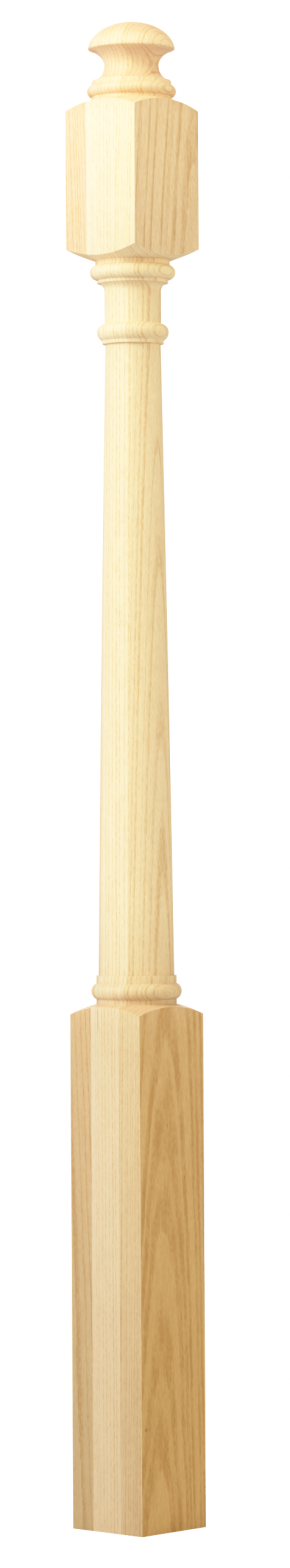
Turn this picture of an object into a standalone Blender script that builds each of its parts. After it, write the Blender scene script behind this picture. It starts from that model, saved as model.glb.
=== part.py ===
"""Turned newel post with a mushroom cap, two square blocks and a tapered shaft.

The post is one piece. A square blank is turned on a lathe everywhere except at its two blocks,
so the model is the square stock intersected with the body that the lathe leaves. Metres, +Z up,
the middle of the foot at the origin and the flats of the blocks square to X and Y.
"""

import math

import bmesh
import bpy

# Square stock
SECTION = 0.0762  # across the flats, three inches

# Lengths up the post, foot to cap. Blocks are measured along their corners, shoulder to shoulder.
LOWER_BLOCK_LENGTH = 0.4160
LOWER_SHOULDER_RISE = 0.0083
LOWER_COLLAR_FOOT_FILLET = 0.0039
LOWER_BEAD_HEIGHT = 0.0130
LOWER_COLLAR_HEAD_FILLET = 0.0062
SHAFT_LENGTH = 0.5108
RING_FILLET = 0.0029
RING_BEAD_HEIGHT = 0.0137
NECK_LENGTH = 0.0263
NECK_COVE_HEIGHT = 0.0063
UPPER_COLLAR_FOOT_FILLET = 0.0029
UPPER_BEAD_HEIGHT = 0.0118
UPPER_COLLAR_HEAD_FILLET = 0.0035
UNDER_SHOULDER_RISE = 0.0094
UPPER_BLOCK_LENGTH = 0.1118
TOP_SHOULDER_RISE = 0.0088
FINIAL_FOOT_FILLET = 0.0024
FINIAL_BEAD_HEIGHT = 0.0096
FINIAL_HEAD_FILLET = 0.0039
CAP_COVE_FOOT_HEIGHT = 0.0124  # from the cove's foot up to its throat
CAP_COVE_HEAD_HEIGHT = 0.0128  # from the throat up to the underside of the cap
CAP_LIP_HEIGHT = 0.0012
CAP_DOME_HEIGHT = 0.0213

# How far the crest of each big bead lies inside the flats of the stock
LOWER_BEAD_INSET = 0.0015
UPPER_BEAD_INSET = 0.0034
FINIAL_BEAD_INSET = 0.0020

# How far each bead stands out of the fillets beside it
LOWER_BEAD_PROUD = 0.0041
RING_BEAD_PROUD = 0.0041
UPPER_BEAD_PROUD_FOOT = 0.0059
UPPER_BEAD_PROUD_HEAD = 0.0045
FINIAL_BEAD_PROUD = 0.0034

# Shaft, ring and neck
SHAFT_FOOT_STEP = 0.0018  # from the collar's upper fillet in to the shaft
SHAFT_TOP_RADIUS = 0.0225
SHAFT_ENTASIS = 0.0004  # swelling of the taper at mid length
RING_FILLET_STEP = 0.0025  # from the shaft out to the ring's fillet
NECK_RADIUS = 0.0230
NECK_COVE_LEDGE = 0.0003  # from the cove's lip out to the fillet above it

# Cap
FINIAL_FILLET_FLARE = 0.0009  # how much the finial's upper fillet narrows, foot to head
CAP_FOOT_LEDGE = 0.0014  # from that fillet's head in to the cove
CAP_THROAT_RADIUS = 0.0221
CAP_COVE_DEPTH = 0.0122  # from the throat out to the lip
CAP_COVE_SWEEP = math.radians(66.0)  # turn of the cove each way from its throat
CAP_LIP_OVERHANG = 0.0009  # from the cove's upper end out to the rim
CAP_RIM_SLOPE = math.radians(6.0)  # of the dome's side from upright, in its ellipse's terms

# How far each lathe-cut shoulder bulges over a straight cone
LOWER_SHOULDER_CROWN = 0.0006
UNDER_SHOULDER_CROWN = 0.0003
TOP_SHOULDER_CROWN = 0.0007

# Finish of the wood
WOOD_COLOUR = (0.72, 0.55, 0.33, 1.0)
WOOD_ROUGHNESS = 0.5

# Faceting. The corners of the stock fall in the middle of a facet.
SEGMENTS = 52
HALF_BEAD_STEPS = 3
COVE_STEPS = 5
LIP_STEPS = 2
SHOULDER_STEPS = 4
TAPER_STEPS = 6
DOME_STEPS = 10
SHARP_ANGLE = math.radians(30.0)
WELD = 0.00001
OVERRUN = 0.006  # of the turned body and of the stock past each other


def arc(start, end, bulge, first, last, steps):
    """Points first to last of an arc cut into steps, its middle lying bulge outside the chord."""
    (r0, z0), (r1, z1) = start, end
    chord = math.hypot(r1 - r0, z1 - z0)
    along_r, along_z = (r1 - r0) / chord, (z1 - z0) / chord
    sweep = 4.0 * math.atan2(2.0 * bulge, chord)
    curve = chord / 2.0 / math.sin(sweep / 2.0)
    points = []
    for i in range(first, last + 1):
        angle = sweep * (i / steps - 0.5)
        forward = chord / 2.0 + curve * math.sin(angle)
        outward = bulge - curve * (1.0 - math.cos(angle))
        points.append(
            (
                r0 + along_r * forward + along_z * outward,
                z0 + along_z * forward - along_r * outward,
            )
        )
    return points


class Turning:
    """The outline that the lathe cuts, foot to cap, as points of radius and height."""

    def __init__(self, corner):
        self.corner = corner
        self.radius = corner
        self.height = 0.0
        self.points = []

    def stock(self, length):
        """Leaves a length of the blank square."""
        self.height += length
        self.radius = self.corner

    def go(self, radius, rise):
        """Cuts straight to a new radius and height."""
        self.radius = radius
        self.height += rise
        self.points.append((self.radius, self.height))

    def shoulder(self, radius, rise, crown):
        """Cuts a shallow arc between the corners of the stock and a fillet, from clear of the stock."""
        leaves_stock = radius < self.corner
        self.points += arc(
            (self.radius, self.height),
            (radius, self.height + rise),
            crown,
            -1 if leaves_stock else 1,
            SHOULDER_STEPS if leaves_stock else SHOULDER_STEPS + 1,
            SHOULDER_STEPS,
        )
        self.radius = radius
        self.height += rise

    def bead(self, crest, head, height):
        """Swells to the crest at mid height, then falls back to the radius head."""
        self.quarter(crest, height / 2.0, True)
        self.quarter(head, height / 2.0, False)

    def quarter(self, radius, rise, swelling):
        """Half of a bead, on the circle that stands upright at the bead's crest."""
        proud = abs(radius - self.radius)
        crest = max(radius, self.radius)
        crest_height = self.height + rise if swelling else self.height
        sweep = 2.0 * math.atan2(proud, rise)
        curve = rise / math.sin(sweep)
        for i in range(1, HALF_BEAD_STEPS + 1):
            angle = sweep * (i / HALF_BEAD_STEPS - (1.0 if swelling else 0.0))
            self.points.append(
                (crest - curve * (1.0 - math.cos(angle)), crest_height + curve * math.sin(angle))
            )
        self.radius = radius
        self.height += rise

    def taper(self, radius, length, swell):
        """Runs straight to a new radius but for a slight swelling, greatest at mid length."""
        for i in range(1, TAPER_STEPS + 1):
            t = i / TAPER_STEPS
            swollen = self.radius + (radius - self.radius) * t + swell * 4.0 * t * (1.0 - t)
            self.points.append((swollen, self.height + length * t))
        self.radius = radius
        self.height += length

    def hollow(self, radius, rise, sweep):
        """Half of a cove, upright at its narrow end and turned by sweep at its wide end."""
        opening = radius > self.radius
        throat = min(radius, self.radius)
        throat_height = self.height if opening else self.height + rise
        curve_r = abs(radius - self.radius) / (1.0 - math.cos(sweep))
        curve_z = rise / math.sin(sweep)
        for i in range(1, COVE_STEPS + 1):
            angle = sweep * (i / COVE_STEPS - (0.0 if opening else 1.0))
            self.points.append(
                (
                    throat + curve_r * (1.0 - math.cos(angle)),
                    throat_height + curve_z * math.sin(angle),
                )
            )
        self.radius = radius
        self.height += rise

    def lip(self, radius, rise):
        """Rounds the underside of the cap up to its rim."""
        base = self.radius
        for i in range(1, LIP_STEPS + 1):
            angle = math.pi / 2.0 * i / LIP_STEPS
            out = base + (radius - base) * math.sin(angle)
            self.points.append((out, self.height + rise * (1.0 - math.cos(angle))))
        self.radius = radius
        self.height += rise

    def dome(self, rise, slope):
        """Closes the cap over the axis on an ellipse, from slope round its side to its top."""
        wide = self.radius / math.cos(slope)
        tall = rise / (1.0 - math.sin(slope))
        for i in range(1, DOME_STEPS + 1):
            angle = slope + (math.pi / 2.0 - slope) * i / DOME_STEPS
            radius = 0.0 if i == DOME_STEPS else wide * math.cos(angle)
            self.points.append((radius, self.height + tall * (math.sin(angle) - math.sin(slope))))
        self.radius = 0.0
        self.height += rise


def cut_lower_collar(turning):
    """Fillet, bead and fillet over the lower block. Leaves the lathe at the shaft's foot."""
    crest = SECTION / 2.0 - LOWER_BEAD_INSET
    fillet = crest - LOWER_BEAD_PROUD
    turning.shoulder(fillet, LOWER_SHOULDER_RISE, LOWER_SHOULDER_CROWN)
    turning.go(fillet, LOWER_COLLAR_FOOT_FILLET)
    turning.bead(crest, fillet, LOWER_BEAD_HEIGHT)
    turning.go(fillet, LOWER_COLLAR_HEAD_FILLET)
    turning.go(fillet - SHAFT_FOOT_STEP, 0.0)


def cut_shaft(turning):
    """Tapered shaft, the ring at its top and the plain neck over the ring."""
    fillet = SHAFT_TOP_RADIUS + RING_FILLET_STEP
    turning.taper(SHAFT_TOP_RADIUS, SHAFT_LENGTH, SHAFT_ENTASIS)
    turning.go(fillet, 0.0)
    turning.go(fillet, RING_FILLET)
    turning.bead(fillet + RING_BEAD_PROUD, NECK_RADIUS, RING_BEAD_HEIGHT)
    turning.go(NECK_RADIUS, NECK_LENGTH)


def cut_upper_collar(turning):
    """Small cove, fillet, bead and fillet under the upper block."""
    crest = SECTION / 2.0 - UPPER_BEAD_INSET
    foot = crest - UPPER_BEAD_PROUD_FOOT
    head = crest - UPPER_BEAD_PROUD_HEAD
    turning.hollow(foot - NECK_COVE_LEDGE, NECK_COVE_HEIGHT, math.pi / 2.0)
    turning.go(foot, 0.0)
    turning.go(foot, UPPER_COLLAR_FOOT_FILLET)
    turning.bead(crest, head, UPPER_BEAD_HEIGHT)
    turning.go(head, UPPER_COLLAR_HEAD_FILLET)
    turning.shoulder(turning.corner, UNDER_SHOULDER_RISE, UNDER_SHOULDER_CROWN)


def cut_finial(turning):
    """Shoulder, bead between two fillets, deep cove and domed cap over the upper block."""
    crest = SECTION / 2.0 - FINIAL_BEAD_INSET
    fillet = crest - FINIAL_BEAD_PROUD
    lip = CAP_THROAT_RADIUS + CAP_COVE_DEPTH
    turning.shoulder(fillet, TOP_SHOULDER_RISE, TOP_SHOULDER_CROWN)
    turning.go(fillet, FINIAL_FOOT_FILLET)
    turning.bead(crest, fillet, FINIAL_BEAD_HEIGHT)
    turning.go(fillet - FINIAL_FILLET_FLARE, FINIAL_HEAD_FILLET)
    turning.go(turning.radius - CAP_FOOT_LEDGE, 0.0)
    turning.hollow(CAP_THROAT_RADIUS, CAP_COVE_FOOT_HEIGHT, CAP_COVE_SWEEP)
    turning.hollow(lip, CAP_COVE_HEAD_HEIGHT, CAP_COVE_SWEEP)
    turning.lip(lip + CAP_LIP_OVERHANG, CAP_LIP_HEIGHT)
    turning.dome(CAP_DOME_HEIGHT, CAP_RIM_SLOPE)


def turned_outline():
    """The whole outline of the lathe's cut, foot to cap."""
    turning = Turning(SECTION / math.sqrt(2.0))
    turning.stock(LOWER_BLOCK_LENGTH)
    cut_lower_collar(turning)
    cut_shaft(turning)
    cut_upper_collar(turning)
    turning.stock(UPPER_BLOCK_LENGTH)
    cut_finial(turning)
    clear = turning.points[0][0]
    return [(0.0, -OVERRUN), (clear, -OVERRUN)] + turning.points


def wood_material():
    """Pale straw-coloured hardwood, bare or thinly lacquered."""
    material = bpy.data.materials.new("pale_oak")
    material.use_nodes = True
    shader = material.node_tree.nodes["Principled BSDF"]
    shader.inputs["Base Color"].default_value = WOOD_COLOUR
    shader.inputs["Roughness"].default_value = WOOD_ROUGHNESS
    shader.inputs["Metallic"].default_value = 0.0
    material.diffuse_color = WOOD_COLOUR
    return material


def add_object(name, bm):
    """Links a bmesh to the scene as a named object."""
    mesh = bpy.data.meshes.new(name)
    bm.to_mesh(mesh)
    bm.free()
    thing = bpy.data.objects.new(name, mesh)
    bpy.context.scene.collection.objects.link(thing)
    return thing


def spun_body(name, outline):
    """The outline spun once round Z, closed over the axis at both ends."""
    bm = bmesh.new()
    verts = [bm.verts.new((radius, 0.0, height)) for radius, height in outline]
    edges = [bm.edges.new(pair) for pair in zip(verts, verts[1:])]
    bmesh.ops.spin(
        bm,
        geom=verts + edges,
        cent=(0.0, 0.0, 0.0),
        axis=(0.0, 0.0, 1.0),
        angle=math.tau,
        steps=SEGMENTS,
        use_merge=True,
    )
    bmesh.ops.remove_doubles(bm, verts=bm.verts, dist=WELD)
    bmesh.ops.recalc_face_normals(bm, faces=bm.faces)
    return add_object(name, bm)


def square_stock(name, height):
    """The square blank, its foot at Z = 0 and its top just clear of the cap."""
    bm = bmesh.new()
    bmesh.ops.create_cube(bm, size=1.0)
    bmesh.ops.scale(bm, vec=(SECTION, SECTION, height + OVERRUN), verts=bm.verts)
    bmesh.ops.translate(bm, vec=(0.0, 0.0, (height + OVERRUN) / 2.0), verts=bm.verts)
    stock = add_object(name, bm)
    stock.hide_render = True
    stock.display_type = "WIRE"
    return stock


def build_newel_post():
    """The post: what the lathe leaves of the square stock."""
    outline = turned_outline()
    post = spun_body("newel_post", outline)
    post.data.shade_smooth()
    post.data.set_sharp_from_angle(angle=SHARP_ANGLE)
    stock = square_stock("stock_cutter", outline[-1][1])
    material = wood_material()
    post.data.materials.append(material)
    stock.data.materials.append(material)
    turned = post.modifiers.new("square_stock", "BOOLEAN")
    turned.operation = "INTERSECT"
    turned.solver = "EXACT"
    turned.object = stock
    return post


def main():
    """Clears the scene and builds the post."""
    for thing in list(bpy.data.objects):
        bpy.data.objects.remove(thing)
    build_newel_post()


main()
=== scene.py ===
"""Turned newel post in pale oak, glued up from three boards, on a pale studio floor.

The post is one piece. Its outline is followed up the lathe section by section, spun round, and then
cut back to the four faces of the square stock, which leaves the two blocks with their curved shoulders.
The wood is worked out in the solid: each board has its own pith and its own years of growth, so the
figure runs on from the faces round the corners and through the turned parts, as it does in real stock.
"""

import logging
import math
from dataclasses import dataclass, field
from enum import Enum
from typing import Sequence, Union

import bmesh
import bpy
from mathutils import Matrix, Vector


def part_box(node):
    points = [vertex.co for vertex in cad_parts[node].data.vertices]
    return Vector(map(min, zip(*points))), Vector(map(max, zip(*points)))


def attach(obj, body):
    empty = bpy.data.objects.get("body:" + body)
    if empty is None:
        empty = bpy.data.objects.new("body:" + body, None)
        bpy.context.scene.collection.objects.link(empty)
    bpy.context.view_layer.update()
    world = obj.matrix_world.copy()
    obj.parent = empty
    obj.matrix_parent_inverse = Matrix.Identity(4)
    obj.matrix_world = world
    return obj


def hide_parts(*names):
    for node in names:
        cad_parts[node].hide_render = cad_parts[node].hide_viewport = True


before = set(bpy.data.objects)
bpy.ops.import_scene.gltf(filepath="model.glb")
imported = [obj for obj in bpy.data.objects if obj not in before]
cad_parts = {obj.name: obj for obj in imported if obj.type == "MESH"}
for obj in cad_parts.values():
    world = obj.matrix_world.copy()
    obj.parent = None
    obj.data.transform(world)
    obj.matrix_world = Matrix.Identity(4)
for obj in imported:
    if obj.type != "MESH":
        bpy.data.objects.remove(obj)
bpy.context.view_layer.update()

LOG = logging.getLogger("newel_post")
POST_NODE = "newel_post"
MERGE_DISTANCE = 1e-6
CUT_TOLERANCE = 1e-7
PICTURE_HEIGHT = 2576
MILLIMETRES = 1000.0

HEAVY_YEAR_ORDER = ("First", "Second", "Third", "Fourth")

Point = tuple[float, float]
Triple = tuple[float, float, float]
Colour = tuple[float, float, float, float]
Value = Union[float, Triple, Colour]
Socket = bpy.types.NodeSocket
Feed = Union[Socket, Value]

WHITE: Colour = (1.0, 1.0, 1.0, 1.0)


# The outline


@dataclass
class Lathe:
    """Follows the tool up the post and keeps the outline that it leaves.

    Attributes:
        half: half the width of the square stock across its flats.
        radius: where the tool stands, out from the axis.
        height: where the tool stands, up from the foot.
        points: the outline so far, as radius and height.
    """

    half: float
    radius: float = 0.0
    height: float = 0.0
    points: list[Point] = field(default_factory=list)

    @property
    def corner(self) -> float:
        """Distance from the axis to a corner of the stock."""
        return 2.0 * self.half / math.sqrt(2.0)

    def leave_square(self, length: float) -> None:
        """Passes a length of the stock without cutting it."""
        self.height += length
        self.radius = self.corner

    def go(self, radius: float, rise: float) -> None:
        """Cuts straight to a new radius, a rise higher."""
        self.radius = radius
        self.height += rise
        self.points.append((self.radius, self.height))

    def shoulder(self, radius: float, rise: float, crown: float, steps: int = 10) -> None:
        """Cuts the shallow arc between the corners of the stock and a fillet.

        Args:
            radius: radius at the upper end.
            rise: height of the arc.
            crown: how far the middle of the arc stands out from its chord.
            steps: straight pieces that stand for the arc.
        """
        leaves_stock = radius < self.corner
        run, chord = radius - self.radius, math.hypot(radius - self.radius, rise)
        along = Vector((run, rise)) / chord
        out = Vector((along.y, -along.x))
        sweep = 4.0 * math.atan2(2.0 * crown, chord)
        curve = chord / 2.0 / math.sin(sweep / 2.0)
        start = Vector((self.radius, self.height))
        # The arc runs two steps out of the stock, so the flats cut it back cleanly
        first, last = (-2, steps) if leaves_stock else (1, steps + 2)
        for i in range(first, last + 1):
            angle = sweep * (i / steps - 0.5)
            forward = chord / 2.0 + curve * math.sin(angle)
            outward = crown - curve * (1.0 - math.cos(angle))
            self.points.append(tuple(start + along * forward + out * outward))
        self.radius = radius
        self.height += rise

    def half_bead(self, radius: float, rise: float, steps: int = 9) -> None:
        """Cuts half of a bead, on the circle that stands upright at the bead's crest.

        Args:
            radius: radius at the upper end.
            rise: height of the half bead.
            steps: straight pieces that stand for the arc.
        """
        swelling = radius > self.radius
        crest = max(radius, self.radius)
        crest_height = self.height + rise if swelling else self.height
        sweep = 2.0 * math.atan2(abs(radius - self.radius), rise)
        curve = rise / math.sin(sweep)
        for i in range(1, steps + 1):
            angle = sweep * (i / steps - (1.0 if swelling else 0.0))
            self.points.append(
                (crest - curve * (1.0 - math.cos(angle)), crest_height + curve * math.sin(angle))
            )
        self.radius = radius
        self.height += rise

    def bead(self, crest: float, head: float, height: float) -> None:
        """Cuts a whole bead from where the tool stands, over its crest and in to its head."""
        self.half_bead(crest, height / 2.0)
        self.half_bead(head, height / 2.0)

    def half_cove(self, radius: float, rise: float, sweep: float, steps: int = 14) -> None:
        """Cuts half of a hollow, upright at its narrow end and turned by sweep at its wide end.

        Args:
            radius: radius at the upper end.
            rise: height of the half hollow.
            sweep: how far its curve turns.
            steps: straight pieces that stand for it.
        """
        opening = radius > self.radius
        throat = min(radius, self.radius)
        throat_height = self.height if opening else self.height + rise
        across = abs(radius - self.radius) / (1.0 - math.cos(sweep))
        along = rise / math.sin(sweep)
        for i in range(1, steps + 1):
            angle = sweep * (i / steps - (0.0 if opening else 1.0))
            self.points.append(
                (throat + across * (1.0 - math.cos(angle)), throat_height + along * math.sin(angle))
            )
        self.radius = radius
        self.height += rise

    def taper(self, radius: float, length: float, swelling: float, steps: int = 16) -> None:
        """Cuts a long taper that swells slightly at its middle.

        Args:
            radius: radius at the upper end.
            length: height of the taper.
            swelling: how far its middle stands out from straight.
            steps: straight pieces that stand for it.
        """
        foot = self.radius
        for i in range(1, steps + 1):
            t = i / steps
            swollen = foot + (radius - foot) * t + swelling * 4.0 * t * (1.0 - t)
            self.points.append((swollen, self.height + length * t))
        self.radius = radius
        self.height += length

    def rim(self, radius: float, rise: float, steps: int = 4) -> None:
        """Rounds the underside of the cap up to its rim.

        Args:
            radius: radius of the rim.
            rise: height of the rounding.
            steps: straight pieces that stand for it.
        """
        base = self.radius
        for i in range(1, steps + 1):
            angle = math.pi / 2.0 * i / steps
            out = base + (radius - base) * math.sin(angle)
            self.points.append((out, self.height + rise * (1.0 - math.cos(angle))))
        self.radius = radius
        self.height += rise

    def dome(self, rise: float, slope: float, steps: int = 30) -> None:
        """Closes the cap over the axis, on an ellipse that starts slope round its side.

        Args:
            rise: height of the dome.
            slope: angle round the ellipse where it starts.
            steps: straight pieces that stand for it.
        """
        wide = self.radius / math.cos(slope)
        tall = rise / (1.0 - math.sin(slope))
        for i in range(1, steps + 1):
            angle = slope + (math.pi / 2.0 - slope) * i / steps
            radius = 0.0 if i == steps else wide * math.cos(angle)
            self.points.append((radius, self.height + tall * (math.sin(angle) - math.sin(slope))))
        self.radius = 0.0
        self.height += rise


class Section:
    """One length of the post, cut from where the tool stands."""

    def cut(self, lathe: Lathe) -> None:
        """Cuts the section.

        Args:
            lathe: follows the tool and keeps the outline.
        """
        raise NotImplementedError


@dataclass(frozen=True)
class FootBlock(Section):
    """Long square block that the post stands on."""

    length: float = 0.4160

    def cut(self, lathe: Lathe) -> None:
        """Leaves the block square."""
        lathe.leave_square(self.length)


@dataclass(frozen=True)
class LowerCollar(Section):
    """Shoulder, fillet, bead and fillet between the foot block and the shaft."""

    shoulder_rise: float = 0.0083
    shoulder_crown: float = 0.0006
    foot_fillet: float = 0.0039
    bead_height: float = 0.0130
    bead_inset: float = 0.0015
    bead_proud: float = 0.0041
    head_fillet: float = 0.0062
    shaft_step: float = 0.0018

    def cut(self, lathe: Lathe) -> None:
        """Cuts the collar and leaves the tool at the foot of the shaft.

        Args:
            lathe: follows the tool and keeps the outline.
        """
        crest = lathe.half - self.bead_inset
        fillet = crest - self.bead_proud
        lathe.shoulder(fillet, self.shoulder_rise, self.shoulder_crown)
        lathe.go(fillet, self.foot_fillet)
        lathe.bead(crest, fillet, self.bead_height)
        lathe.go(fillet, self.head_fillet)
        lathe.go(fillet - self.shaft_step, 0.0)


@dataclass(frozen=True)
class Shaft(Section):
    """Tapered round shaft."""

    length: float
    top_radius: float = 0.0225
    swelling: float = 0.0004

    def cut(self, lathe: Lathe) -> None:
        """Cuts the shaft from the lower collar up to the ring."""
        lathe.taper(self.top_radius, self.length, self.swelling)


@dataclass(frozen=True)
class RingAndNeck(Section):
    """Ring at the shaft's top and the plain neck over it."""

    fillet_step: float = 0.0025
    fillet: float = 0.0029
    bead_height: float = 0.0137
    bead_proud: float = 0.0041
    neck_radius: float = 0.0230
    neck_length: float = 0.0263

    def cut(self, lathe: Lathe) -> None:
        """Cuts the ring and the neck.

        Args:
            lathe: follows the tool and keeps the outline.
        """
        ledge = lathe.radius + self.fillet_step
        lathe.go(ledge, 0.0)
        lathe.go(ledge, self.fillet)
        lathe.bead(ledge + self.bead_proud, self.neck_radius, self.bead_height)
        lathe.go(self.neck_radius, self.neck_length)


@dataclass(frozen=True)
class UpperCollar(Section):
    """Small cove, fillet, bead, fillet and shoulder under the rail block."""

    cove_height: float = 0.0063
    cove_ledge: float = 0.0003
    foot_fillet: float = 0.0029
    bead_height: float = 0.0118
    bead_inset: float = 0.0034
    bead_proud_foot: float = 0.0059
    bead_proud_head: float = 0.0045
    head_fillet: float = 0.0035
    shoulder_rise: float = 0.0094
    shoulder_crown: float = 0.0003

    def cut(self, lathe: Lathe) -> None:
        """Cuts the collar and runs out through the corners of the rail block.

        Args:
            lathe: follows the tool and keeps the outline.
        """
        crest = lathe.half - self.bead_inset
        foot = crest - self.bead_proud_foot
        head = crest - self.bead_proud_head
        lathe.half_cove(foot - self.cove_ledge, self.cove_height, math.pi / 2.0)
        lathe.go(foot, 0.0)
        lathe.go(foot, self.foot_fillet)
        lathe.bead(crest, head, self.bead_height)
        lathe.go(head, self.head_fillet)
        lathe.shoulder(lathe.corner, self.shoulder_rise, self.shoulder_crown)


@dataclass(frozen=True)
class RailBlock(Section):
    """Short square block that the handrail is fixed to."""

    length: float = 0.1118

    def cut(self, lathe: Lathe) -> None:
        """Leaves the block square."""
        lathe.leave_square(self.length)


@dataclass(frozen=True)
class Finial(Section):
    """Shoulder, bead between fillets, deep cove and domed cap on top of the rail block."""

    shoulder_rise: float = 0.0088
    shoulder_crown: float = 0.0007
    foot_fillet: float = 0.0024
    bead_height: float = 0.0096
    bead_inset: float = 0.0020
    bead_proud: float = 0.0034
    head_fillet: float = 0.0039
    fillet_flare: float = 0.0009
    cove_ledge: float = 0.0014
    cove_foot: float = 0.0124
    cove_head: float = 0.0128
    throat_radius: float = 0.0221
    cove_depth: float = 0.0122
    cove_sweep: float = math.radians(66.0)
    lip_overhang: float = 0.0009
    lip_height: float = 0.0012
    dome_height: float = 0.0213
    rim_slope: float = math.radians(6.0)

    def cut(self, lathe: Lathe) -> None:
        """Cuts the finial and closes it over the axis.

        Args:
            lathe: follows the tool and keeps the outline.
        """
        crest = lathe.half - self.bead_inset
        fillet = crest - self.bead_proud
        lip = self.throat_radius + self.cove_depth
        lathe.shoulder(fillet, self.shoulder_rise, self.shoulder_crown)
        lathe.go(fillet, self.foot_fillet)
        lathe.bead(crest, fillet, self.bead_height)
        lathe.go(fillet - self.fillet_flare, self.head_fillet)
        lathe.go(lathe.radius - self.cove_ledge, 0.0)
        lathe.half_cove(self.throat_radius, self.cove_foot, self.cove_sweep)
        lathe.half_cove(lip, self.cove_head, self.cove_sweep)
        lathe.rim(lip + self.lip_overhang, self.lip_height)
        lathe.dome(self.dome_height, self.rim_slope)


# The post


@dataclass
class NewelPost:
    """The whole post, one solid.

    Attributes:
        section: width of the square stock across its flats.
        height: foot to cap.
        foot: the long square block below.
        lower_collar: turned collar over it.
        ring: ring and neck over the shaft.
        upper_collar: turned collar under the rail block.
        rail_block: the short square block above.
        finial: turned top.
        spin_steps: facets round the lathe axis. The corners of the stock fall in mid facet.
        overrun: how far the turned body runs past the stock before it is cut back.
        turned_ease: how much sandpaper takes off a crisp turned edge.
        arris_ease: how much it takes off the edges of the flats.
        sharp_angle: edges that turn more than this stay crisp in the shading.
    """

    section: float
    height: float
    foot: FootBlock = FootBlock()
    lower_collar: LowerCollar = LowerCollar()
    ring: RingAndNeck = RingAndNeck()
    upper_collar: UpperCollar = UpperCollar()
    rail_block: RailBlock = RailBlock()
    finial: Finial = Finial()
    spin_steps: int = 252
    overrun: float = 0.006
    turned_ease: float = 0.00025
    arris_ease: float = 0.00040
    sharp_angle: float = math.radians(32.0)

    @property
    def below(self) -> tuple[Section, ...]:
        """The sections below the shaft."""
        return (self.foot, self.lower_collar)

    @property
    def above(self) -> tuple[Section, ...]:
        """The sections above the shaft."""
        return (self.ring, self.upper_collar, self.rail_block, self.finial)

    def cut(self, sections: Sequence[Section]) -> Lathe:
        """Returns a lathe that has cut some sections."""
        lathe = Lathe(half=self.section / 2.0)
        for section in sections:
            section.cut(lathe)
        return lathe

    @property
    def shaft(self) -> Shaft:
        """The shaft takes up what the other sections leave of the height."""
        return Shaft(length=self.height - self.cut(self.below + self.above).height)

    def outline(self) -> list[Point]:
        """Returns the whole outline, foot to cap, closed to the axis at both ends."""
        points = self.cut((*self.below, self.shaft, *self.above)).points
        clear = points[0][0]
        return [(0.0, -self.overrun), (clear, -self.overrun)] + points

    def turned_body(self) -> bmesh.types.BMesh:
        """Returns the outline, its crisp corners eased, spun once round the lathe axis."""
        body = bmesh.new()
        verts = [body.verts.new((radius, 0.0, height)) for radius, height in self.outline()]
        for pair in zip(verts, verts[1:]):
            body.edges.new(pair)
        crisp = []
        for before, vert, after in zip(verts, verts[1:], verts[2:]):
            turn = (vert.co - before.co).angle(after.co - vert.co)
            if turn > self.sharp_angle and vert.co.z > 0.0:
                crisp.append(vert)
        bmesh.ops.bevel(
            body,
            geom=crisp,
            offset=self.turned_ease,
            offset_type="OFFSET",
            affect="VERTICES",
            segments=3,
            profile=0.5,
            material=-1,
            clamp_overlap=True,
        )
        bmesh.ops.spin(
            body,
            geom=body.verts[:] + body.edges[:],
            cent=(0.0, 0.0, 0.0),
            axis=(0.0, 0.0, 1.0),
            angle=math.tau,
            steps=self.spin_steps,
            use_merge=True,
        )
        bmesh.ops.remove_doubles(body, verts=body.verts[:], dist=MERGE_DISTANCE)
        bmesh.ops.recalc_face_normals(body, faces=body.faces[:])
        return body

    def plane_flats(self, body: bmesh.types.BMesh) -> None:
        """Saws off the foot and planes the four faces of the stock into the turned body.

        Args:
            body: the turned body, changed in place.
        """
        half = self.section / 2.0
        cuts = [(Vector((0.0, 0.0, 0.0)), Vector((0.0, 0.0, -1.0)))]
        for side in ((1.0, 0.0), (-1.0, 0.0), (0.0, 1.0), (0.0, -1.0)):
            facing = Vector((side[0], side[1], 0.0))
            cuts.append((facing * half, facing))
        for place, facing in cuts:
            bmesh.ops.bisect_plane(
                body,
                geom=body.verts[:] + body.edges[:] + body.faces[:],
                dist=CUT_TOLERANCE,
                plane_co=place,
                plane_no=facing,
                clear_outer=True,
                clear_inner=False,
            )
            rim = [edge for edge in body.edges if edge.is_boundary]
            bmesh.ops.holes_fill(body, edges=rim, sides=0)
        bmesh.ops.recalc_face_normals(body, faces=body.faces[:])

    def flats(self, body: bmesh.types.BMesh) -> list[bmesh.types.BMFace]:
        """Returns the planed faces of the two blocks and the sawn foot."""
        big = (self.section / 2.0) ** 2
        return [face for face in body.faces if face.calc_area() > big]

    def ease_arrises(self, body: bmesh.types.BMesh) -> None:
        """Takes the sharpness off every edge round the flats."""
        edges = {edge for face in self.flats(body) for edge in face.edges}
        bmesh.ops.bevel(
            body,
            geom=list(edges),
            offset=self.arris_ease,
            offset_type="OFFSET",
            affect="EDGES",
            segments=2,
            profile=0.5,
            material=-1,
            clamp_overlap=True,
        )

    def build(self) -> bpy.types.Object:
        """Returns the finished post, standing on its foot at the origin."""
        body = self.turned_body()
        self.plane_flats(body)
        self.ease_arrises(body)
        for face in body.faces:
            face.smooth = True
        for face in self.flats(body):
            face.smooth = False
        mesh = bpy.data.meshes.new("post")
        body.to_mesh(mesh)
        body.free()
        mesh.set_sharp_from_angle(angle=self.sharp_angle)
        post = bpy.data.objects.new("post", mesh)
        bpy.context.scene.collection.objects.link(post)
        return post

    def dress(self, post: bpy.types.Object, finish: "GluedUpOak") -> None:
        """Gives the post its wood and ties it to the part that it stands for.

        Args:
            post: the finished post.
            finish: its wood.
        """
        post.data.materials.append(finish.material())
        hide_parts(POST_NODE)
        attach(post, "root")


# The wood


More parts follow.
